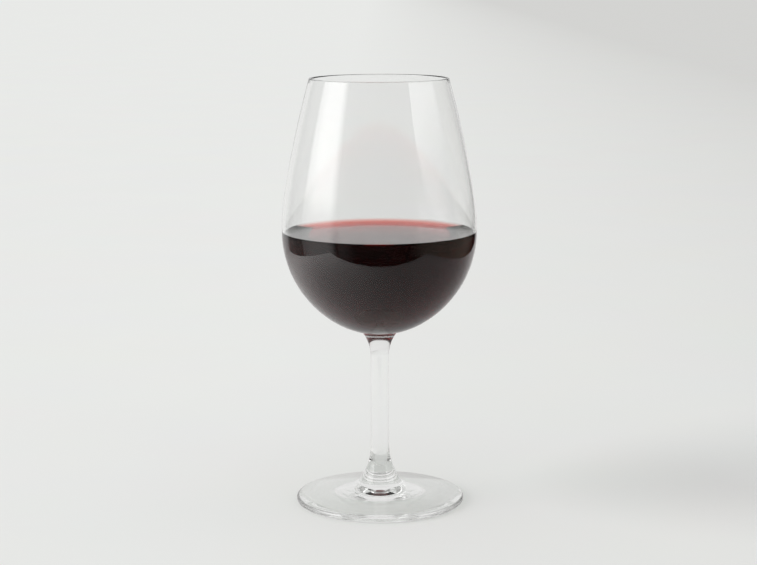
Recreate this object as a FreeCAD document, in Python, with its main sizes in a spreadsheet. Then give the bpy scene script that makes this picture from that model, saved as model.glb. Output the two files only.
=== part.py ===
import FreeCAD, Part
import math
import os
import Sketcher

# A glass of red wine: a stemmed glass made in one piece, and the wine standing in its bowl.
# Millimetres, +Z up, origin on the table under the middle of the foot. Both pieces are turned
# shapes, so each is one section drawn in the XZ plane and revolved about Z. The sections are
# chains of lines and arcs, smooth at every joint except at the foot's resting ring.

doc = FreeCAD.newDocument("wine_glass")

# ---- driving dimensions ----------------------------------------------------------------

SIZES = {
    # the stem and the bowl, from the table up
    "stem_height": 86.6,  # table to the underside of the bowl
    "bowl_height": 128.4,  # underside of the bowl to the rim
    "belly_depth": 52.5,  # underside of the bowl up to its widest ring
    "widest_radius": 48.8,
    "rim_radius": 34.8,
    "belly_span": 60.0,  # degrees that the belly's arc turns, down from the widest ring
    "shoulder_radius": 123.0,  # curve of the wall just above the widest ring
    "shoulder_rise": 21.0,  # height of that curve; a flatter one runs on to the lip
    # the glass itself
    "wall_at_rim": 1.2,
    "wall_at_widest": 1.5,
    "floor_thickness": 4.8,  # glass between the wine and the underside of the bowl
    # the stem and its two flares
    "stem_radius": 4.6,
    "neck_flare": 11.6,  # the stem starts to widen this far below the bowl
    "neck_curve": 20.0,
    "neck_fillet": 0.6,
    "base_flare": 29.0,  # the stem starts to widen at this height above the table
    "base_curve": 32.0,
    "base_fillet": 6.0,
    # the foot
    "foot_radius": 42.6,
    "foot_edge": 3.2,  # thickness of the foot's round edge
    "foot_peak": 11.6,  # height where the foot's sloping top would meet the axis
    "ring_width": 4.0,  # the foot rests on a flat ring just inside its round edge
    "kick_height": 4.2,  # height of the hollow under the foot
    # the wine
    "wine_depth": 45.4,  # above the bowl's inner floor
}

# Sizes that follow from the ones above, as formulas of the sheet.
DERIVED = {
    "rim_height": "=stem_height + bowl_height",
    "widest_height": "=stem_height + belly_depth",
    "shoulder_top": "=widest_height + shoulder_rise",
    "lip_round": "=wall_at_rim / 2",
    "lip_radius": "=rim_radius - lip_round",
    "lip_height": "=rim_height - lip_round",
    "inside_radius": "=widest_radius - wall_at_widest",
    "inside_shoulder": "=shoulder_radius - wall_at_widest",
    "floor_height": "=stem_height + floor_thickness",
    "neck_start": "=stem_height - neck_flare",
    "edge_round": "=foot_edge / 2",
    "edge_radius": "=foot_radius - edge_round",
    "ring_radius": "=edge_radius - ring_width",
    "wine_level": "=floor_height + wine_depth",
}

sheet = doc.addObject("Spreadsheet::Sheet", "Sizes")
for row, (alias, value) in enumerate(list(SIZES.items()) + list(DERIVED.items()), start=1):
    sheet.set(f"A{row}", alias)
    sheet.set(f"B{row}", str(value))
    sheet.setAlias(f"B{row}", alias)
doc.recompute()


def size(alias):
    return float(getattr(sheet, alias))


# ---- plane geometry --------------------------------------------------------------------


def along(start, towards, distance):
    """The point at a distance from start, on the line to another point."""
    share = distance / math.dist(start, towards)
    return tuple(a + share * (b - a) for a, b in zip(start, towards))


def oval_radii(across, down, span):
    """Radii of a quarter oval made of two arcs: the upper one turns span, the other the rest.

    The upper arc starts upright at the oval's side, and the lower one ends level on its axis.
    """
    sine, cosine = math.cos(math.radians(span)), math.sin(math.radians(span))
    scale = sine * cosine - (1 - sine) * (1 - cosine)
    upper = (sine * down - (1 - cosine) * across) / scale
    lower = (cosine * across - (1 - sine) * down) / scale
    return upper, lower


def arc_onto_ball(centre, joint, ball, reach):
    """Centre of the arc that goes on from joint, on an arc around centre, to touch a ball.

    The ball lies inside the arc, or outside it where its radius, reach, is negative.
    """
    normal = tuple((j - c) / math.dist(centre, joint) for c, j in zip(centre, joint))
    gap = tuple(j - b for j, b in zip(joint, ball))
    lean = gap[0] * normal[0] + gap[1] * normal[1]
    radius = (gap[0]**2 + gap[1]**2 - reach**2) / (2 * (lean - reach))
    return tuple(j - radius * n for j, n in zip(joint, normal))


def crossing(first, first_radius, second, second_radius):
    """Where two circles cross, on the left of the way from the first centre to the second."""
    gap = math.dist(first, second)
    forward = (first_radius**2 - second_radius**2 + gap**2) / (2 * gap)
    sideways = math.sqrt(first_radius**2 - forward**2)
    step = ((second[0] - first[0]) / gap, (second[1] - first[1]) / gap)
    return (
        first[0] + forward * step[0] - sideways * step[1],
        first[1] + forward * step[1] + sideways * step[0],
    )


# ---- drawing a section -----------------------------------------------------------------

# A sketch knows its own axes and an edge's points by these numbers.
H_AXIS, V_AXIS = -1, -2
START, END, CENTRE = 1, 2, 3


class Section:
    """A sketch in a body's XZ plane.

    Every edge is drawn where it belongs, worked out from the sheet, and then tied to it.
    """

    def __init__(self, body, name):
        self.sketch = body.newObject("Sketcher::SketchObject", name)
        plane = next(f for f in body.Origin.OriginFeatures if f.Role == "XZ_Plane")
        self.sketch.AttachmentSupport = [(plane, "")]
        self.sketch.MapMode = "FlatFace"

    def line(self, start, end):
        segment = Part.LineSegment(FreeCAD.Vector(*start, 0), FreeCAD.Vector(*end, 0))
        return self.sketch.addGeometry(segment, False)

    def arc(self, centre, start, end, guide=False):
        """An arc that runs anticlockwise from start to end; a guide is left out of the shape."""
        radius = math.dist(centre, start)
        circle = Part.Circle(FreeCAD.Vector(*centre, 0), FreeCAD.Vector(0, 0, 1), radius)
        first = math.atan2(start[1] - centre[1], start[0] - centre[0])
        last = math.atan2(end[1] - centre[1], end[0] - centre[0])
        return self.sketch.addGeometry(Part.ArcOfCircle(circle, first, last), guide)

    def tie(self, kind, *terms):
        return self.sketch.addConstraint(Sketcher.Constraint(kind, *terms))

    def set_size(self, alias, kind, *terms, scale=1.0):
        """A constraint whose value is read from the sheet."""
        number = self.tie(kind, *terms, size(alias) * scale)
        self.sketch.setExpression(f"Constraints[{number}]", f"Sizes.{alias}")

    def place(self, edge, point, across=None, up=None):
        """Sets a point's distance from the axis and its height; 0 is the axis or the table."""
        if across == 0:
            self.tie("PointOnObject", edge, point, V_AXIS)
        elif across:
            self.set_size(across, "DistanceX", -1, START, edge, point)
        if up == 0:
            self.tie("PointOnObject", edge, point, H_AXIS)
        elif up:
            self.set_size(up, "DistanceY", -1, START, edge, point)


class BowlSide:
    """One side of the bowl's wall, outer or inner, from the axis up to the lip.

    A bottom arc is centred on the axis, the belly arc stands upright at the widest ring, the
    shoulder arc goes on from there, and the chimney, a much flatter arc, runs to the lip.
    """

    def __init__(self, underside, widest, shoulder, lip_side):
        self.aliases = (underside, widest, shoulder)
        low = size(underside)
        self.ring = (size(widest), size("widest_height"))
        span = size("belly_span")
        belly, bottom = oval_radii(self.ring[0], self.ring[1] - low, span)
        self.bottom_centre = (0.0, low + bottom)
        self.belly_centre = (self.ring[0] - belly, self.ring[1])
        turn = math.radians(span)
        self.seam = (bottom * math.cos(turn), low + bottom - bottom * math.sin(turn))
        self.shoulder_centre = (self.ring[0] - size(shoulder), self.ring[1])
        rise = size("shoulder_rise")
        reach = math.sqrt(size(shoulder)**2 - rise**2)
        self.shoulder_end = (self.shoulder_centre[0] + reach, self.ring[1] + rise)
        self.lip_centre = (size("lip_radius"), size("lip_height"))
        touch = lip_side * size("lip_round")
        self.chimney_centre = arc_onto_ball(
            self.shoulder_centre, self.shoulder_end, self.lip_centre, touch
        )
        self.bulges = self.chimney_centre[0] < self.shoulder_end[0]
        towards_centre = -touch if self.bulges else touch
        self.lip = along(self.lip_centre, self.chimney_centre, towards_centre)

    def draw(self, section, start, guide=False):
        """Draws the four arcs, the bottom one from start, and returns them with their lip end."""
        underside, widest, shoulder_alias = self.aliases
        bottom = section.arc(self.bottom_centre, start, self.seam, guide)
        belly = section.arc(self.belly_centre, self.seam, self.ring, guide)
        shoulder = section.arc(self.shoulder_centre, self.ring, self.shoulder_end, guide)
        if self.bulges:
            ends = (self.shoulder_end, self.lip)
            low, high = START, END
        else:
            ends = (self.lip, self.shoulder_end)
            low, high = END, START
        chimney = section.arc(self.chimney_centre, *ends, guide)

        section.place(bottom, CENTRE, across=0)
        section.tie("Tangent", bottom, END, belly, START)
        section.set_size("belly_span", "Angle", belly, scale=math.radians(1))
        section.place(belly, CENTRE, up="widest_height")
        section.place(belly, END, across=widest, up="widest_height")
        section.tie("Tangent", belly, END, shoulder, START)
        section.set_size(shoulder_alias, "Radius", shoulder)
        section.place(shoulder, END, up="shoulder_top")
        section.tie("Tangent", shoulder, END, chimney, low)
        return bottom, belly, shoulder, chimney, high


OUTSIDE = BowlSide("stem_height", "widest_radius", "shoulder_radius", 1)
INSIDE = BowlSide("floor_height", "inside_radius", "inside_shoulder", -1)
FLOOR = (0.0, size("floor_height"))


def revolve(body, section, name):
    feature = body.newObject("PartDesign::Revolution", name)
    feature.Profile = section.sketch
    feature.ReferenceAxis = (section.sketch, ["V_Axis"])
    feature.Angle = 360.0
    section.sketch.Visibility = False
    body.Tip = feature
    doc.recompute()


# ---- the glass -------------------------------------------------------------------------


def draw_foot(section):
    """The foot, from its hollow underside round its edge and up to the stem.

    Returns its first edge, the hollow, and its last, the flare that runs into the stem.
    """
    kick = (0.0, size("kick_height"))
    ring = (size("ring_radius"), 0.0)
    kick_centre = (0.0, (kick[1]**2 - ring[0]**2) / (2 * kick[1]))
    edge_centre = (size("edge_radius"), size("edge_round"))
    heel = (edge_centre[0], 0.0)

    # the top slopes down from its peak on the axis and touches the round edge
    peak = size("foot_peak") - edge_centre[1]
    turn = math.acos(size("edge_round") / math.hypot(peak, edge_centre[0]))
    slope = turn - math.atan2(edge_centre[0], peak)
    up = (math.sin(slope), math.cos(slope))
    brow = tuple(c + size("edge_round") * u for c, u in zip(edge_centre, up))

    # the fillet's centre stands over the slope and inside the flare's circle
    flare_centre = (size("stem_radius") + size("base_curve"), size("base_flare"))
    stem_low = (size("stem_radius"), size("base_flare"))
    fillet = size("base_fillet")
    lifted = tuple(b + fillet * u for b, u in zip(brow, up))
    inward = (-up[1], up[0])
    gap = (lifted[0] - flare_centre[0], lifted[1] - flare_centre[1])
    half = gap[0] * inward[0] + gap[1] * inward[1]
    excess = gap[0]**2 + gap[1]**2 - (size("base_curve") - fillet)**2
    run = -half + math.sqrt(half**2 - excess)
    fillet_centre = tuple(p + run * i for p, i in zip(lifted, inward))
    toe = tuple(c - fillet * u for c, u in zip(fillet_centre, up))
    flare_end = along(flare_centre, fillet_centre, size("base_curve"))

    hollow = section.arc(kick_centre, ring, kick)
    rest = section.line(ring, heel)
    edge = section.arc(edge_centre, heel, brow)
    top = section.line(toe, brow)
    inner_bend = section.arc(fillet_centre, flare_end, toe)
    flare = section.arc(flare_centre, stem_low, flare_end)
    peak_point = section.sketch.addGeometry(
        Part.Point(FreeCAD.Vector(0, size("foot_peak"), 0)), True
    )

    section.place(hollow, CENTRE, across=0)
    section.place(hollow, END, across=0, up="kick_height")
    section.place(hollow, START, across="ring_radius", up=0)
    section.tie("Coincident", hollow, START, rest, START)
    section.tie("Horizontal", rest)
    section.tie("Tangent", rest, END, edge, START)
    section.set_size("edge_round", "Radius", edge)
    section.place(edge, CENTRE, across="edge_radius")
    section.tie("Tangent", edge, END, top, END)
    section.place(peak_point, START, across=0, up="foot_peak")
    section.tie("PointOnObject", peak_point, START, top)
    section.tie("Tangent", top, START, inner_bend, END)
    section.set_size("base_fillet", "Radius", inner_bend)
    section.tie("Tangent", inner_bend, START, flare, END)
    section.set_size("base_curve", "Radius", flare)
    section.place(flare, START, across="stem_radius", up="base_flare")
    return hollow, flare


def draw_stem(section, flare):
    """The stem, from the foot's flare to its neck, which widens again under the bowl.

    Returns the neck's fillet and the point where that runs into the bowl.
    """
    low = (size("stem_radius"), size("base_flare"))
    high = (size("stem_radius"), size("neck_start"))
    neck_centre = (high[0] + size("neck_curve"), high[1])
    fillet = size("neck_fillet")
    bottom_radius = OUTSIDE.bottom_centre[1] - size("stem_height")
    fillet_centre = crossing(
        neck_centre, size("neck_curve") - fillet, OUTSIDE.bottom_centre, bottom_radius + fillet
    )
    neck_end = along(neck_centre, fillet_centre, size("neck_curve"))
    bowl_start = along(fillet_centre, OUTSIDE.bottom_centre, fillet)

    stem = section.line(low, high)
    neck = section.arc(neck_centre, neck_end, high)
    bend = section.arc(fillet_centre, bowl_start, neck_end)

    section.tie("Tangent", flare, START, stem, START)
    section.tie("Vertical", stem)
    section.place(stem, END, up="neck_start")
    section.tie("Tangent", stem, END, neck, END)
    section.set_size("neck_curve", "Radius", neck)
    section.tie("Tangent", neck, START, bend, END)
    section.set_size("neck_fillet", "Radius", bend)
    return bend, bowl_start


def make_glass():
    """Bowl, stem and foot in one piece: the outside up to the lip and the inside back down."""
    body = doc.addObject("PartDesign::Body", "glass")
    body.Label = "glass"
    section = Section(body, "glass_section")
    hollow, flare = draw_foot(section)
    bend, bowl_start = draw_stem(section, flare)
    bottom, _, _, chimney, chimney_top = OUTSIDE.draw(section, bowl_start)
    floor, _, _, inner_chimney, inner_top = INSIDE.draw(section, FLOOR)
    lip = section.arc(OUTSIDE.lip_centre, OUTSIDE.lip, INSIDE.lip)
    axis = section.line(FLOOR, (0.0, size("kick_height")))
    underside = section.sketch.addGeometry(
        Part.Point(FreeCAD.Vector(0, size("stem_height"), 0)), True
    )

    section.tie("Tangent", bend, START, bottom, START)
    section.place(underside, START, across=0, up="stem_height")
    section.tie("PointOnObject", underside, START, bottom)
    section.tie("Tangent", chimney, chimney_top, lip, START)
    section.set_size("lip_round", "Radius", lip)
    section.place(lip, CENTRE, across="lip_radius", up="lip_height")
    section.tie("Tangent", lip, END, inner_chimney, inner_top)
    section.place(floor, START, across=0, up="floor_height")
    section.tie("Coincident", floor, START, axis, START)
    section.tie("Coincident", axis, END, hollow, END)
    revolve(body, section, "glass_turned")
    return body


# ---- the wine --------------------------------------------------------------------------


def make_wine():
    """The wine fills the bowl's inside from its floor to its level.

    The inside is drawn as guides, and the wine's section traces them as far as the level.
    """
    body = doc.addObject("PartDesign::Body", "wine")
    body.Label = "wine"
    section = Section(body, "wine_section")
    *guides, chimney_top = INSIDE.draw(section, FLOOR, guide=True)
    section.place(guides[0], START, across=0, up="floor_height")
    lip = section.arc(INSIDE.lip_centre, OUTSIDE.lip, INSIDE.lip, guide=True)
    section.set_size("lip_round", "Radius", lip)
    section.place(lip, CENTRE, across="lip_radius", up="lip_height")
    section.tie("Tangent", lip, END, guides[-1], chimney_top)
    section.place(lip, START, up="lip_height")

    level = size("wine_level")
    curves = (
        (INSIDE.bottom_centre, FLOOR, INSIDE.seam),
        (INSIDE.belly_centre, INSIDE.seam, INSIDE.ring),
        (INSIDE.shoulder_centre, INSIDE.ring, INSIDE.shoulder_end),
        (INSIDE.chimney_centre, INSIDE.shoulder_end, INSIDE.lip),
    )
    traces = []
    for guide, (centre, start, end) in zip(guides, curves):
        last = end[1] >= level
        if last:
            side = 1 if centre[0] < start[0] else -1
            reach = math.sqrt(math.dist(centre, start)**2 - (level - centre[1])**2)
            end = (centre[0] + side * reach, level)
        forwards = centre[0] < end[0]
        from_end, to_end = (START, END) if forwards else (END, START)
        trace = section.arc(centre, *((start, end) if forwards else (end, start)))
        section.tie("Coincident", trace, CENTRE, guide, CENTRE)
        section.tie("Coincident", trace, from_end, guide, from_end)
        traces.append(trace)
        if last:
            break
        section.tie("Horizontal", trace, to_end, guide, to_end)
    surface = section.line(end, (0.0, level))
    axis = section.line((0.0, level), FLOOR)
    section.tie("Coincident", trace, to_end, surface, START)
    section.tie("Horizontal", surface)
    section.tie("Coincident", surface, END, axis, START)
    section.place(axis, START, across=0, up="wine_level")
    section.tie("Coincident", axis, END, traces[0], START)
    revolve(body, section, "wine_turned")
    return body


# ---- build, check and write ------------------------------------------------------------

bodies = [make_glass(), make_wine()]
doc.recompute()

for thing in doc.Objects:
    if "Invalid" in thing.State or "Error" in thing.State:
        raise RuntimeError(f"{thing.Name} failed: {thing.State}")
for body in bodies:
    if body.Shape.isNull() or not body.Shape.isValid() or len(body.Shape.Solids) != 1:
        raise RuntimeError(f"{body.Label} is not one valid solid")

os.makedirs("parts", exist_ok=True)
for body in bodies:
    body.Shape.exportStep(os.path.join("parts", f"{body.Label}.step"))
    box = body.Shape.BoundBox
    print(f"{body.Label}: {body.Shape.Volume / 1000:.1f} cm3, height {box.ZMin:.2f} to {box.ZMax:.2f}")
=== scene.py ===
import math
import bmesh
import bpy
from mathutils import Matrix, Vector


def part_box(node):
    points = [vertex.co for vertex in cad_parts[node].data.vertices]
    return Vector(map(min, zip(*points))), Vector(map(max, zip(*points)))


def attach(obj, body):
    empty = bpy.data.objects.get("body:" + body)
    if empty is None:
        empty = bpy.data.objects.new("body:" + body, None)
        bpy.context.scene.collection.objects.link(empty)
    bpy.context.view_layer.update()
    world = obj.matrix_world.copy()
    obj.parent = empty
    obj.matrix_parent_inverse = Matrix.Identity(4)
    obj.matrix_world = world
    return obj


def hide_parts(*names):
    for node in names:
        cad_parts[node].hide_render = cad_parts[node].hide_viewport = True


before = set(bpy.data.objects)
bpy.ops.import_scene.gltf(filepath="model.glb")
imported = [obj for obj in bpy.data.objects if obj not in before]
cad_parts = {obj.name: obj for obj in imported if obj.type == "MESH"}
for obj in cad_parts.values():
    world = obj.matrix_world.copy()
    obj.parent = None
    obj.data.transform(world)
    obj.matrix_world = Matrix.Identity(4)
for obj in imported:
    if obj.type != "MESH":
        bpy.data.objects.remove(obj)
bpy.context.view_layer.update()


# ---- The glass --------------------------------------------------------------------------
# One piece of clear crystalline glass: a thin tulip bowl blown in a mould, a drawn stem and a
# spun foot, fused while hot and fire-polished, so that no edge or seam is left anywhere. The
# section below runs from the hollow under the foot, up the outside, over the lip and back down.

MM = 0.001

_, glass_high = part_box("glass")
wine_low, wine_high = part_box("wine")

# heights and radii that the frame gives, in millimetres
RIM_HEIGHT = glass_high.z / MM
WIDEST_RADIUS = glass_high.x / MM
FLOOR_HEIGHT = wine_low.z / MM
WINE_LEVEL = wine_high.z / MM

# the bowl
FLOOR_THICKNESS = 4.8
BOWL_BOTTOM = FLOOR_HEIGHT - FLOOR_THICKNESS
BELLY_DEPTH = 52.5
WIDEST_HEIGHT = BOWL_BOTTOM + BELLY_DEPTH
BELLY_SPAN = math.radians(60)
SHOULDER_RADIUS = 123.0
SHOULDER_RISE = 21.0
RIM_RADIUS = 34.8
WALL_AT_RIM = 1.2
WALL_AT_WIDEST = 1.5
LIP_ROUND = WALL_AT_RIM / 2
LIP_CENTRE = (RIM_RADIUS - LIP_ROUND, RIM_HEIGHT - LIP_ROUND)

# the stem and its flares
STEM_RADIUS = 4.6
NECK_FLARE = 11.6
NECK_CURVE = 20.0
NECK_FILLET = 0.6
BASE_FLARE = 29.0
BASE_CURVE = 32.0
BASE_FILLET = 6.0

# the foot
FOOT_RADIUS = 42.6
FOOT_EDGE = 3.2
FOOT_PEAK = 11.6
RING_WIDTH = 4.0
KICK_HEIGHT = 4.2

# how finely the turned shapes are cut
TURN_STEPS = 192
LONGEST_STEP = 2.6
WIDEST_STEP = math.radians(7)

# an upright face's normal may dip this far below level, by rounding
UPRIGHT_LIMIT = -0.001


def along(start, towards, distance):
    """The point at a distance from start, on the line to another point."""
    share = distance / math.dist(start, towards)
    return tuple(a + share * (b - a) for a, b in zip(start, towards))


def crossing(first, first_radius, second, second_radius):
    """Where two circles cross, on the left of the way from the first centre to the second."""
    gap = math.dist(first, second)
    forward = (first_radius**2 - second_radius**2 + gap**2) / (2 * gap)
    sideways = math.sqrt(first_radius**2 - forward**2)
    step = ((second[0] - first[0]) / gap, (second[1] - first[1]) / gap)
    return (
        first[0] + forward * step[0] - sideways * step[1],
        first[1] + forward * step[1] + sideways * step[0],
    )


class Outline:
    """Half of a turned piece's section, drawn as one chain of edges.

    Points are (distance from the axis, height), in millimetres.
    """

    def __init__(self, start):
        self.mesh = bmesh.new()
        self.tip = self.mesh.verts.new((start[0], 0, start[1]))

    def line(self, end):
        made = bmesh.ops.extrude_vert_indiv(self.mesh, verts=[self.tip])
        self.tip = made["verts"][0]
        self.tip.co = (end[0], 0, end[1])

    def arc(self, centre, end, turn=1):
        """Goes round the centre to the end, anticlockwise where turn is 1, clockwise at -1."""
        x, _, z = self.tip.co
        first = math.atan2(z - centre[1], x - centre[0])
        last = math.atan2(end[1] - centre[1], end[0] - centre[0])
        angle = (turn * (last - first)) % math.tau
        length = angle * math.dist(centre, end)
        steps = math.ceil(max(length / LONGEST_STEP, angle / WIDEST_STEP))
        made = bmesh.ops.spin(
            self.mesh, geom=[self.tip], cent=(centre[0], 0, centre[1]), axis=(0, 1, 0),
            angle=-turn * angle, steps=steps, use_duplicate=False,
        )
        self.tip = next(g for g in made["geom_last"] if isinstance(g, bmesh.types.BMVert))

    def turned(self):
        """The mesh of the full turn, in metres, closed at its poles, with faces outwards."""
        mesh = self.mesh
        bmesh.ops.spin(
            mesh, geom=mesh.verts[:] + mesh.edges[:], cent=(0, 0, 0), axis=(0, 0, 1),
            angle=math.tau, steps=TURN_STEPS, use_merge=True, use_duplicate=False,
        )
        bmesh.ops.remove_doubles(mesh, verts=mesh.verts[:], dist=1e-4)
        bmesh.ops.recalc_face_normals(mesh, faces=mesh.faces[:])
        bmesh.ops.scale(mesh, vec=(MM, MM, MM), verts=mesh.verts[:])
        return mesh


class BowlSide:
    """One side of the bowl's wall: four arcs, each running smoothly into the next.

    The bottom arc is centred on the axis, the belly stands upright at the widest ring, the
    shoulder goes on from there, and the chimney, much flatter, runs to the lip.
    """

    def __init__(self, low, widest, shoulder, lip_side):
        down = WIDEST_HEIGHT - low
        sine, cosine = math.cos(BELLY_SPAN), math.sin(BELLY_SPAN)
        scale = sine * cosine - (1 - sine) * (1 - cosine)
        self.belly = (sine * down - (1 - cosine) * widest) / scale
        self.bottom = (cosine * widest - (1 - sine) * down) / scale
        self.start = (0, low)
        self.bottom_centre = (0, low + self.bottom)
        self.belly_centre = (widest - self.belly, WIDEST_HEIGHT)
        self.seam = (self.bottom * sine, low + self.bottom * (1 - cosine))
        self.ring = (widest, WIDEST_HEIGHT)
        self.shoulder_centre = (widest - shoulder, WIDEST_HEIGHT)
        reach = math.sqrt(shoulder**2 - SHOULDER_RISE**2)
        self.shoulder_end = (self.shoulder_centre[0] + reach, WIDEST_HEIGHT + SHOULDER_RISE)

        # the chimney leaves the shoulder smoothly and touches the lip's round
        normal = (reach / shoulder, SHOULDER_RISE / shoulder)
        gap = (self.shoulder_end[0] - LIP_CENTRE[0], self.shoulder_end[1] - LIP_CENTRE[1])
        lean = gap[0] * normal[0] + gap[1] * normal[1]
        touch = lip_side * LIP_ROUND
        radius = (gap[0]**2 + gap[1]**2 - touch**2) / (2 * (lean - touch))
        self.chimney_centre = tuple(e - radius * n for e, n in zip(self.shoulder_end, normal))
        self.lip = along(LIP_CENTRE, self.chimney_centre, -touch)


OUTSIDE = BowlSide(BOWL_BOTTOM, WIDEST_RADIUS, SHOULDER_RADIUS, 1)
INSIDE = BowlSide(
    FLOOR_HEIGHT, WIDEST_RADIUS - WALL_AT_WIDEST, SHOULDER_RADIUS - WALL_AT_WIDEST, -1
)


def draw_foot(outline):
    """From the hollow's crown out to the resting ring, round the edge and up to the stem."""
    edge_round = FOOT_EDGE / 2
    edge_centre = (FOOT_RADIUS - edge_round, edge_round)
    ring = (edge_centre[0] - RING_WIDTH, 0)
    kick_centre = (0, (KICK_HEIGHT**2 - ring[0]**2) / (2 * KICK_HEIGHT))

    peak = FOOT_PEAK - edge_centre[1]
    turn = math.acos(edge_round / math.hypot(peak, edge_centre[0]))
    slope = turn - math.atan2(edge_centre[0], peak)
    up = (math.sin(slope), math.cos(slope))
    brow = tuple(c + edge_round * u for c, u in zip(edge_centre, up))

    flare_centre = (STEM_RADIUS + BASE_CURVE, BASE_FLARE)
    lifted = tuple(b + BASE_FILLET * u for b, u in zip(brow, up))
    inward = (-up[1], up[0])
    gap = (lifted[0] - flare_centre[0], lifted[1] - flare_centre[1])
    half = gap[0] * inward[0] + gap[1] * inward[1]
    excess = gap[0]**2 + gap[1]**2 - (BASE_CURVE - BASE_FILLET)**2
    run = -half + math.sqrt(half**2 - excess)
    fillet_centre = tuple(p + run * i for p, i in zip(lifted, inward))
    toe = tuple(c - BASE_FILLET * u for c, u in zip(fillet_centre, up))
    flare_end = along(flare_centre, fillet_centre, BASE_CURVE)

    outline.arc(kick_centre, ring, turn=-1)
    outline.line((edge_centre[0], 0))
    outline.arc(edge_centre, brow)
    outline.line(toe)
    outline.arc(fillet_centre, flare_end, turn=-1)
    outline.arc(flare_centre, (STEM_RADIUS, BASE_FLARE), turn=-1)


def draw_stem(outline):
    """Up the stem and round its neck to the underside of the bowl."""
    top = (STEM_RADIUS, BOWL_BOTTOM - NECK_FLARE)
    neck_centre = (STEM_RADIUS + NECK_CURVE, top[1])
    fillet_centre = crossing(
        neck_centre, NECK_CURVE - NECK_FILLET,
        OUTSIDE.bottom_centre, OUTSIDE.bottom + NECK_FILLET,
    )
    outline.line(top)
    outline.arc(neck_centre, along(neck_centre, fillet_centre, NECK_CURVE), turn=-1)
    outline.arc(fillet_centre, along(fillet_centre, OUTSIDE.bottom_centre, NECK_FILLET), turn=-1)


def draw_bowl(outline):
    """Up the outside, over the lip and down the inside to the bowl's floor."""
    outline.arc(OUTSIDE.bottom_centre, OUTSIDE.seam)
    outline.arc(OUTSIDE.belly_centre, OUTSIDE.ring)
    outline.arc(OUTSIDE.shoulder_centre, OUTSIDE.shoulder_end)
    outline.arc(OUTSIDE.chimney_centre, OUTSIDE.lip)
    outline.arc(LIP_CENTRE, INSIDE.lip)
    outline.arc(INSIDE.chimney_centre, INSIDE.shoulder_end, turn=-1)
    outline.arc(INSIDE.shoulder_centre, INSIDE.ring, turn=-1)
    outline.arc(INSIDE.belly_centre, INSIDE.seam, turn=-1)
    outline.arc(INSIDE.bottom_centre, INSIDE.start, turn=-1)


def linear(colour):
    """A colour written as sRGB hex, as the linear numbers that shaders take."""
    shares = [int(colour[i:i + 2], 16) / 255 for i in (1, 3, 5)]
    return (*[s / 12.92 if s <= 0.04045 else ((s + 0.055) / 1.055)**2.4 for s in shares], 1)


def add_node(tree, kind, settings=None, **links):
    """A node with its settings and inputs; a link's value is a number, a colour or a socket.

    An input's name is written with underscores for its spaces, or as n0, n1 for its place.
    """
    node = tree.nodes.new(kind)
    for name, value in (settings or {}).items():
        setattr(node, name, value)
    for name, value in links.items():
        place = int(name[1:]) if name[0] == "n" and name[1:].isdigit() else name.replace("_", " ")
        socket = node.inputs[place]
        if isinstance(value, bpy.types.NodeSocket):
            tree.links.new(value, socket)
        else:
            socket.default_value = value
    return node


def new_material(name):
    material = bpy.data.materials.new(name)
    material.use_nodes = True
    material.node_tree.nodes.clear()
    return material, material.node_tree


GLASS_IOR = 1.52
WINE_IOR = 1.344
SHADOW_BRIGHT = "#FEFFFE"
SHADOW_DARK = "#BABCBA"
SHADOW_BLEND = 0.25
DRAW_LENGTH = 38.0
DRAW_DEPTH = 0.012
DRAW_STRETCH = (1, 1, 0.35)
DRAW_SOFTNESS = 10.0


def clear_glass(name, ior):
    """Fire-polished lead-free crystal: no colour of its own, sharp reflections and bright rims.

    The slow waves left by blowing bend the reflections a little. Light that goes on to the
    table passes straight through and is dimmed where the glass turns away, as at the edges.
    """
    material, tree = new_material(name)
    place = add_node(tree, "ShaderNodeTexCoord")
    stretch = add_node(
        tree, "ShaderNodeMapping", Vector=place.outputs["Object"], Scale=DRAW_STRETCH
    )
    waves = add_node(
        tree, "ShaderNodeTexNoise", Vector=stretch.outputs["Vector"],
        Scale=1 / (DRAW_LENGTH * MM), Detail=1.5, Roughness=0.4,
    )
    relief = add_node(
        tree, "ShaderNodeBump", Height=waves.outputs["Fac"],
        Distance=DRAW_DEPTH * MM, Strength=1.0, Filter_Width=DRAW_SOFTNESS,
    )
    body = add_node(
        tree, "ShaderNodeBsdfPrincipled", Base_Color=(1, 1, 1, 1), Roughness=0.0, IOR=ior,
        Transmission_Weight=1.0, Normal=relief.outputs["Normal"],
    )
    facing = add_node(tree, "ShaderNodeLayerWeight", Blend=SHADOW_BLEND)
    dimming = add_node(
        tree, "ShaderNodeMix", {"data_type": "RGBA"}, n0=facing.outputs["Facing"],
        n6=linear(SHADOW_BRIGHT), n7=linear(SHADOW_DARK),
    )
    straight = add_node(tree, "ShaderNodeBsdfTransparent", Color=dimming.outputs[2])
    path = add_node(tree, "ShaderNodeLightPath")
    onward = add_node(
        tree, "ShaderNodeMath", {"operation": "MAXIMUM"},
        n0=path.outputs["Is Shadow Ray"], n1=path.outputs["Is Diffuse Ray"],
    )
    surface = add_node(
        tree, "ShaderNodeMixShader", n0=onward.outputs[0],
        n1=body.outputs["BSDF"], n2=straight.outputs["BSDF"],
    )
    add_node(tree, "ShaderNodeOutputMaterial", Surface=surface.outputs["Shader"])
    return material


def add_piece(name, mesh, materials):
    data = bpy.data.meshes.new(name)
    mesh.to_mesh(data)
    mesh.free()
    data.shade_smooth()
    for material in materials:
        data.materials.append(material)
    piece = bpy.data.objects.new(name, data)
    bpy.context.scene.collection.objects.link(piece)
    return piece


outline = Outline((0, KICK_HEIGHT))
draw_foot(outline)
draw_stem(outline)
draw_bowl(outline)
turned = outline.turned()

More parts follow.
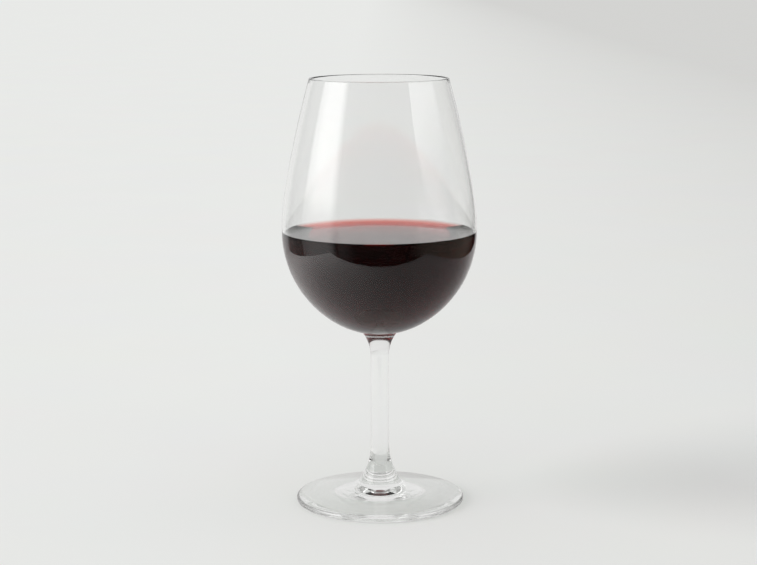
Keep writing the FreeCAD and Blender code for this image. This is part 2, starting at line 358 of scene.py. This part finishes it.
# Below the wine's edge the inner wall meets wine, not air, and hardly shines.
wet_radius = WIDEST_RADIUS - WALL_AT_WIDEST / 2
wet_floor = FLOOR_HEIGHT - 1
for face in turned.faces:
    centre = face.calc_center_median() / MM
    inward = Vector((-centre.x, -centre.y, WIDEST_HEIGHT - centre.z))
    wetted = (
        math.hypot(centre.x, centre.y) < wet_radius
        and face.normal.z > UPRIGHT_LIMIT
        and wet_floor < centre.z < WIDEST_HEIGHT
        and face.normal.dot(inward) > 0
    )
    face.material_index = 1 if wetted else 0

glass = add_piece(
    "wine_glass", turned,
    [clear_glass("clear_crystal", GLASS_IOR), clear_glass("wetted_crystal", GLASS_IOR / WINE_IOR)],
)
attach(glass, "root")
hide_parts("glass")


# ---- The wine ---------------------------------------------------------------------------
# Red wine standing in the bowl, black in its depth and pink where it is thin. It wets the
# wall, so its surface climbs a couple of millimetres in a hollow curve all round. Its side
# reaches a little into the glass, so that no air shows between them.

BITE = 0.15
CLIMB = WIDEST_HEIGHT - WINE_LEVEL
CLIMB_WIDTH = 2.3
CLIMB_REACH = 14.0
CLIMB_STEPS = 36
WINE_COLOUR = "#F1704F"
WINE_DENSITY = 500.0


def draw_wine():
    """From the bottom on the axis, up the wall to the wine's edge and in along its surface."""
    outline = Outline((0, FLOOR_HEIGHT - BITE))
    seam = along(INSIDE.bottom_centre, INSIDE.seam, INSIDE.bottom + BITE)
    edge = (INSIDE.ring[0] + BITE, WIDEST_HEIGHT)
    outline.arc(INSIDE.bottom_centre, seam)
    outline.arc(INSIDE.belly_centre, edge)
    for step in range(1, CLIMB_STEPS + 1):
        away = CLIMB_REACH * (step / CLIMB_STEPS)**2
        height = WINE_LEVEL + CLIMB * math.exp(-away / CLIMB_WIDTH)
        outline.line((edge[0] - away, height))
    outline.line((edge[0] / 2, WINE_LEVEL))
    outline.line((0, WINE_LEVEL))
    return outline.turned()


def red_wine():
    """Young red wine: it drinks in green and blue at once and red slowly, over centimetres.

    Its surface shines like still water. Against the glass it has no shine of its own.
    """
    material, tree = new_material("red_wine")
    open_air = add_node(tree, "ShaderNodeAttribute", {"attribute_name": "open_air"})
    bend = add_node(
        tree, "ShaderNodeMapRange", Value=open_air.outputs["Fac"], To_Min=1.0, To_Max=WINE_IOR
    )
    body = add_node(
        tree, "ShaderNodeBsdfPrincipled", Base_Color=(1, 1, 1, 1), Roughness=0.0,
        IOR=bend.outputs["Result"], Transmission_Weight=1.0,
    )
    depth = add_node(
        tree, "ShaderNodeVolumeAbsorption", Color=linear(WINE_COLOUR), Density=WINE_DENSITY
    )
    add_node(
        tree, "ShaderNodeOutputMaterial", Surface=body.outputs["BSDF"],
        Volume=depth.outputs["Volume"],
    )
    return material


turned = draw_wine()
open_air = turned.faces.layers.float.new("open_air")
for face in turned.faces:
    face[open_air] = 1.0 if face.normal.z > 0 else 0.0

wine = add_piece("wine_body", turned, [red_wine()])
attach(wine, "root")
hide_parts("wine")


# ---- The table and the studio -----------------------------------------------------------
# A plain pale table under even light, with painted shade darkening it towards the right.
# What the glass mirrors is a studio: a tall white screen on each side, a pale wall behind,
# and a dark room on the camera's side.

TABLE_REACH = 20.0
TABLE_PALE = "#EBECEA"
# painted shade: the table's colour darkens towards the right, away from the key light
TABLE_SHADED_RIGHT = "#D6D6D4"
TABLE_SHADE_SPAN = (-0.08, 0.9)
MOTTLE_SCALE = 9.0
MOTTLE_SHARE = 0.03
# the table as the glass mirrors it: a glowing sheet of painted reflection, its painted light
# brighter towards the left screen
SHEET = (-0.40, 0.36, -0.25, 1.2)
MIRROR_WHITE = "#FFFDFC"
MIRROR_FADE = (0.10, -0.50)
MIRROR_GLOW = (0.48, 2.1)
MIRROR_BEHIND = 0.75
MIRROR_BEHIND_FADE = (0.0, 0.45)
ROOM_RADIUS = 6.0
ROOM_FRONT = "#757573"
ROOM_BACK = "#E6E6E5"
ROOM_FADE = (-0.9 * ROOM_RADIUS, 0.2 * ROOM_RADIUS)
CLOTH_WHITE = "#FFFFFE"
SKY_PALE = "#FFFFFF"
SKY_STRENGTH = 0.64
KEY_STRENGTH = 2.6
KEY_ANGLE = math.radians(40)
KEY_ELEVATION = math.radians(25)
KEY_AZIMUTH = math.radians(80)


def flat_sheet(name, x0, x1, y0, y1):
    mesh = bmesh.new()
    bmesh.ops.create_grid(mesh, x_segments=1, y_segments=1, size=0.5)
    bmesh.ops.scale(mesh, vec=(x1 - x0, y1 - y0, 1), verts=mesh.verts[:])
    bmesh.ops.translate(mesh, vec=((x0 + x1) / 2, (y0 + y1) / 2, 0), verts=mesh.verts[:])
    return add_piece(name, mesh, [])


def seen_by(thing, camera=False, diffuse=False, glossy=False, transmission=False, shadow=False):
    thing.visible_camera = camera
    thing.visible_diffuse = diffuse
    thing.visible_glossy = glossy
    thing.visible_transmission = transmission
    thing.visible_shadow = shadow


def smooth_ramp(tree, value, span, low=0.0, high=1.0):
    """Runs smoothly from low to high while the value crosses the span."""
    ramp = add_node(
        tree, "ShaderNodeMapRange", {"interpolation_type": "SMOOTHSTEP"},
        Value=value, From_Min=span[0], From_Max=span[1], To_Min=low, To_Max=high,
    )
    return ramp.outputs["Result"]


def mixed(tree, share, first, second):
    """Goes from the first colour to the second as the share goes from 0 to 1."""
    mix = add_node(
        tree, "ShaderNodeMix", {"data_type": "RGBA"}, n0=share, n6=first, n7=second
    )
    return mix.outputs[2]


def table_paper():
    """Matt pale paper with the faint mottle of its pulp, and painted shade that darkens it towards
    the right, away from the key light.
    """
    material, tree = new_material("table_paper")
    place = add_node(tree, "ShaderNodeTexCoord")
    mottle = add_node(
        tree, "ShaderNodeTexNoise", Vector=place.outputs["Object"],
        Scale=MOTTLE_SCALE, Detail=3.0,
    )
    split = add_node(tree, "ShaderNodeSeparateXYZ", Vector=place.outputs["Object"])
    # painted shade: the paper's colour runs darker towards the right
    painted_shade = add_node(
        tree, "ShaderNodeMapRange", Value=split.outputs["X"],
        From_Min=TABLE_SHADE_SPAN[0], From_Max=TABLE_SHADE_SPAN[1],
    )
    pale = mixed(tree, painted_shade.outputs["Result"], linear(TABLE_PALE), linear(TABLE_SHADED_RIGHT))
    colour = add_node(
        tree, "ShaderNodeMix", {"data_type": "RGBA", "blend_type": "MULTIPLY"},
        n0=MOTTLE_SHARE, n6=pale, n7=mottle.outputs["Color"],
    )
    body = add_node(tree, "ShaderNodeBsdfDiffuse", Color=colour.outputs[2])
    add_node(tree, "ShaderNodeOutputMaterial", Surface=body.outputs["BSDF"])
    return material


paper = table_paper()
table = flat_sheet("table", -TABLE_REACH, TABLE_REACH, -TABLE_REACH, TABLE_REACH)
table.data.materials.append(paper)
seen_by(table, camera=True, diffuse=True, transmission=True, shadow=True)


def painted_table_reflection():
    """The table as the glass mirrors it: a glowing sheet of painted reflection, whose painted
    light is brighter towards the screen on the left and evened out behind.
    """
    material, tree = new_material("painted_table_reflection")
    place = add_node(tree, "ShaderNodeTexCoord")
    split = add_node(tree, "ShaderNodeSeparateXYZ", Vector=place.outputs["Object"])
    # painted light: the sheet glows brighter towards the screen on the left
    painted_light = smooth_ramp(tree, split.outputs["X"], MIRROR_FADE, *MIRROR_GLOW)
    behind = smooth_ramp(tree, split.outputs["Y"], MIRROR_BEHIND_FADE)
    evened = add_node(tree, "ShaderNodeMix", n0=behind, n2=painted_light, n3=MIRROR_BEHIND)
    glow = add_node(
        tree, "ShaderNodeEmission", Color=linear(MIRROR_WHITE), Strength=evened.outputs[0]
    )
    add_node(tree, "ShaderNodeOutputMaterial", Surface=glow.outputs["Emission"])
    return material


# a glowing sheet, seen only in reflections, that stands for the lit table: painted reflection
painted_reflection_sheet = flat_sheet("painted_reflection_sheet", *SHEET)
painted_reflection_sheet.data.materials.append(painted_table_reflection())
seen_by(painted_reflection_sheet, glossy=True)


# Directions in the mirrored room run from -1 to 1 along each axis.
ROOM_DARK_LOW = "#2A2625"
ROOM_DARK_HIGH = "#5E5E5C"
ROOM_RIGHT = "#8E8C80"
ROOM_LEFT = "#8C8A88"
ROOM_CEILING = "#BEBEBD"
HORIZON_SPAN = (-0.12, 0.12)
RIGHT_SPAN = (0.55, 0.9)
LEFT_SPAN = (-0.4, -0.8)
WALL_SPAN = (0.62, 0.78)
WALL_TURN = 0.5
CEILING_SPAN = (0.5, 0.8)


def studio_room():
    """The room that the glass mirrors, painted on a sphere round the table.

    It is dark in front, mid grey at both sides, pale behind and paler than the front overhead.
    """
    material, tree = new_material("studio_room")
    place = add_node(tree, "ShaderNodeTexCoord")
    way = add_node(
        tree, "ShaderNodeVectorMath", {"operation": "NORMALIZE"}, n0=place.outputs["Object"]
    )
    split = add_node(tree, "ShaderNodeSeparateXYZ", Vector=way.outputs["Vector"])
    right_side = smooth_ramp(tree, split.outputs["X"], RIGHT_SPAN)
    left_side = smooth_ramp(tree, split.outputs["X"], LEFT_SPAN)
    height = smooth_ramp(tree, split.outputs["Z"], HORIZON_SPAN)
    colour = mixed(tree, height, linear(ROOM_DARK_LOW), linear(ROOM_DARK_HIGH))
    colour = mixed(tree, right_side, colour, linear(ROOM_RIGHT))
    colour = mixed(tree, left_side, colour, linear(ROOM_LEFT))
    rightwards = add_node(
        tree, "ShaderNodeMath", {"operation": "MAXIMUM"}, n0=split.outputs["X"], n1=0.0
    )
    turned_back = add_node(
        tree, "ShaderNodeMath", {"operation": "MULTIPLY_ADD"},
        n0=rightwards.outputs[0], n1=-WALL_TURN, n2=split.outputs["Y"],
    )
    wall = smooth_ramp(tree, turned_back.outputs[0], WALL_SPAN)
    colour = mixed(tree, wall, colour, linear(ROOM_BACK))
    overhead = smooth_ramp(tree, split.outputs["Z"], CEILING_SPAN)
    colour = mixed(tree, overhead, colour, linear(ROOM_CEILING))
    glow = add_node(tree, "ShaderNodeEmission", Color=colour, Strength=1.0)
    add_node(tree, "ShaderNodeOutputMaterial", Surface=glow.outputs["Emission"])
    material.cycles.emission_sampling = "NONE"
    return material


def pale_room():
    """The room as it shows through the glass: pale all round, a little greyer in front."""
    material, tree = new_material("pale_room")
    place = add_node(tree, "ShaderNodeTexCoord")
    split = add_node(tree, "ShaderNodeSeparateXYZ", Vector=place.outputs["Object"])
    behind = smooth_ramp(tree, split.outputs["Y"], ROOM_FADE)
    colour = mixed(tree, behind, linear(ROOM_FRONT), linear(ROOM_BACK))
    glow = add_node(tree, "ShaderNodeEmission", Color=colour, Strength=1.0)
    add_node(tree, "ShaderNodeOutputMaterial", Surface=glow.outputs["Emission"])
    material.cycles.emission_sampling = "NONE"
    return material


def room(name, radius, material):
    mesh = bmesh.new()
    bmesh.ops.create_uvsphere(mesh, u_segments=64, v_segments=32, radius=radius)
    return add_piece(name, mesh, [material])


mirrored_room = room("mirrored_room", ROOM_RADIUS, studio_room())
seen_by(mirrored_room, glossy=True)
room_behind = room("room_behind", ROOM_RADIUS, pale_room())
seen_by(room_behind, transmission=True)


def screen_light(name, turn, edge, lean, softness, fade, far):
    """White cloth lit from behind: even above, fading towards the table and at its near edge.

    It shows only in what the glass mirrors. turn is the direction across the cloth.
    The near edge runs at edge metres from the middle, plus lean for each metre of height.
    fade is (strength below, strength above, height where it starts, height where it ends).
    far is (where the outer part is weakest, where it is at full strength, the share left
    where it is weakest), both places in metres from the middle.
    """
    material, tree = new_material(name)
    place = add_node(tree, "ShaderNodeTexCoord")
    split = add_node(tree, "ShaderNodeSeparateXYZ", Vector=place.outputs["Object"])
    across = add_node(
        tree, "ShaderNodeVectorMath", {"operation": "DOT_PRODUCT"},
        n0=place.outputs["Object"], n1=(math.cos(turn), math.sin(turn), 0),
    )
    leaning = add_node(
        tree, "ShaderNodeMath", {"operation": "MULTIPLY_ADD"},
        n0=split.outputs["Z"], n1=-lean, n2=across.outputs["Value"],
    )
    inside = smooth_ramp(tree, leaning.outputs[0], (edge, edge + softness))
    rise = smooth_ramp(tree, split.outputs["Z"], fade[2:], *fade[:2])
    outer = smooth_ramp(tree, across.outputs["Value"], far[:2], low=far[2])
    across_both = add_node(
        tree, "ShaderNodeMath", {"operation": "MULTIPLY"}, n0=inside, n1=outer
    )
    strength = add_node(
        tree, "ShaderNodeMath", {"operation": "MULTIPLY"}, n0=across_both.outputs[0], n1=rise
    )
    glow = add_node(
        tree, "ShaderNodeEmission", Color=linear(CLOTH_WHITE), Strength=strength.outputs[0]
    )
    path = add_node(tree, "ShaderNodeLightPath")
    mirrored = add_node(
        tree, "ShaderNodeMath", {"operation": "GREATER_THAN"},
        n0=path.outputs["Glossy Depth"], n1=0.5,
    )
    unseen = add_node(tree, "ShaderNodeBsdfTransparent", Color=(1, 1, 1, 1))
    surface = add_node(
        tree, "ShaderNodeMixShader", n0=mirrored.outputs[0],
        n1=unseen.outputs["BSDF"], n2=glow.outputs["Emission"],
    )
    add_node(tree, "ShaderNodeOutputMaterial", Surface=surface.outputs["Shader"])
    return material


def screen(name, azimuths, distance, heights, material):
    """A tall screen between two azimuths, in degrees from the camera's side, left negative.

    Its distance and its two heights, bottom and top, are in metres.
    """
    near, far = azimuths
    bottom, top = heights
    middle = math.radians((near + far) / 2)
    half = math.radians(abs(far - near) / 2)
    width = 2 * distance * math.tan(half)
    upright = Matrix.Rotation(math.pi / 2, 3, "X")
    facing = Matrix.Rotation(middle, 3, "Z")
    mesh = bmesh.new()
    bmesh.ops.create_grid(mesh, x_segments=1, y_segments=1, size=0.5)
    bmesh.ops.scale(mesh, vec=(width, top - bottom, 1), verts=mesh.verts[:])
    bmesh.ops.rotate(mesh, cent=(0, 0, 0), matrix=upright, verts=mesh.verts[:])
    bmesh.ops.translate(mesh, vec=(0, -distance, (top + bottom) / 2), verts=mesh.verts[:])
    bmesh.ops.rotate(mesh, cent=(0, 0, 0), matrix=facing, verts=mesh.verts[:])
    made = add_piece(name, mesh, [material])
    seen_by(made, glossy=True, transmission=True)
    return made


LEFT_AZIMUTHS = (-48, -99)
RIGHT_AZIMUTHS = (50, 99)
LEFT_DISTANCE = 0.6
RIGHT_DISTANCE = 0.9
LEFT_HEIGHTS = (-0.25, 0.9)
RIGHT_HEIGHTS = (0.0, 1.1)
LEFT_GLOW = (1.1, 2.9, 0.10, 0.30)
RIGHT_GLOW = (0.3, 1.7, 0.25, 0.55)
LEFT_EDGE = (-0.30, 0.0, 0.17)
RIGHT_EDGE = (0.02, -1.0, 0.10)
LEFT_FAR = (0.29, 0.05, 0.6)
RIGHT_FAR = (0.45, 0.30, 0.5)

# across each screen, away from the camera's side
left_across = math.radians(180 + sum(LEFT_AZIMUTHS) / 2)
right_across = math.radians(sum(RIGHT_AZIMUTHS) / 2)
left_glow = screen_light("left_glow", left_across, *LEFT_EDGE, LEFT_GLOW, LEFT_FAR)
right_glow = screen_light("right_glow", right_across, *RIGHT_EDGE, RIGHT_GLOW, RIGHT_FAR)
left_screen = screen("left_screen", LEFT_AZIMUTHS, LEFT_DISTANCE, LEFT_HEIGHTS, left_glow)
right_screen = screen("right_screen", RIGHT_AZIMUTHS, RIGHT_DISTANCE, RIGHT_HEIGHTS, right_glow)

key = bpy.data.lights.new("key", "SUN")
key.energy = KEY_STRENGTH
key.angle = KEY_ANGLE
key_object = bpy.data.objects.new("key", key)
key_object.rotation_euler = Vector((
    -math.sin(KEY_AZIMUTH) * math.cos(KEY_ELEVATION),
    -math.cos(KEY_AZIMUTH) * math.cos(KEY_ELEVATION),
    math.sin(KEY_ELEVATION),
)).to_track_quat("Z", "Y").to_euler()
bpy.context.scene.collection.objects.link(key_object)
seen_by(key_object, diffuse=True, shadow=True)

sky = bpy.data.worlds.new("studio_light")
sky.use_nodes = True
sky.node_tree.nodes.clear()
sky_light = add_node(
    sky.node_tree, "ShaderNodeBackground", Color=linear(SKY_PALE), Strength=SKY_STRENGTH
)
add_node(sky.node_tree, "ShaderNodeOutputWorld", Surface=sky_light.outputs["Background"])
bpy.context.scene.world = sky


# ---- The camera -------------------------------------------------------------------------
# A little above the rim, looking slightly down.

CAMERA_PLACE = (-0.0005, -0.908, 0.2684)
CAMERA_DIP = math.radians(9.737)
CAMERA_ROLL = math.radians(-0.174)
SENSOR = 36.0
LENS = 87.13

ahead = Vector((0, math.cos(CAMERA_DIP), -math.sin(CAMERA_DIP)))
above = Vector((0, math.sin(CAMERA_DIP), math.cos(CAMERA_DIP)))
beside = Vector((1, 0, 0))
right = math.cos(CAMERA_ROLL) * beside + math.sin(CAMERA_ROLL) * above
up = math.cos(CAMERA_ROLL) * above - math.sin(CAMERA_ROLL) * beside
camera = bpy.data.cameras.new("camera")
camera.sensor_fit = "HORIZONTAL"
camera.sensor_width = SENSOR
camera.lens = LENS
camera.clip_start = 0.01
camera.clip_end = 100.0
camera_object = bpy.data.objects.new("camera", camera)
turn = Matrix((right, up, -ahead)).transposed().to_4x4()
camera_object.matrix_world = Matrix.Translation(CAMERA_PLACE) @ turn
bpy.context.scene.collection.objects.link(camera_object)
bpy.context.scene.camera = camera_object

scene = bpy.context.scene
scene.view_settings.view_transform = "Standard"
scene.cycles.max_bounces = 24
scene.cycles.transmission_bounces = 24
scene.cycles.glossy_bounces = 16
scene.cycles.transparent_max_bounces = 24
scene.cycles.sample_clamp_indirect = 12.0
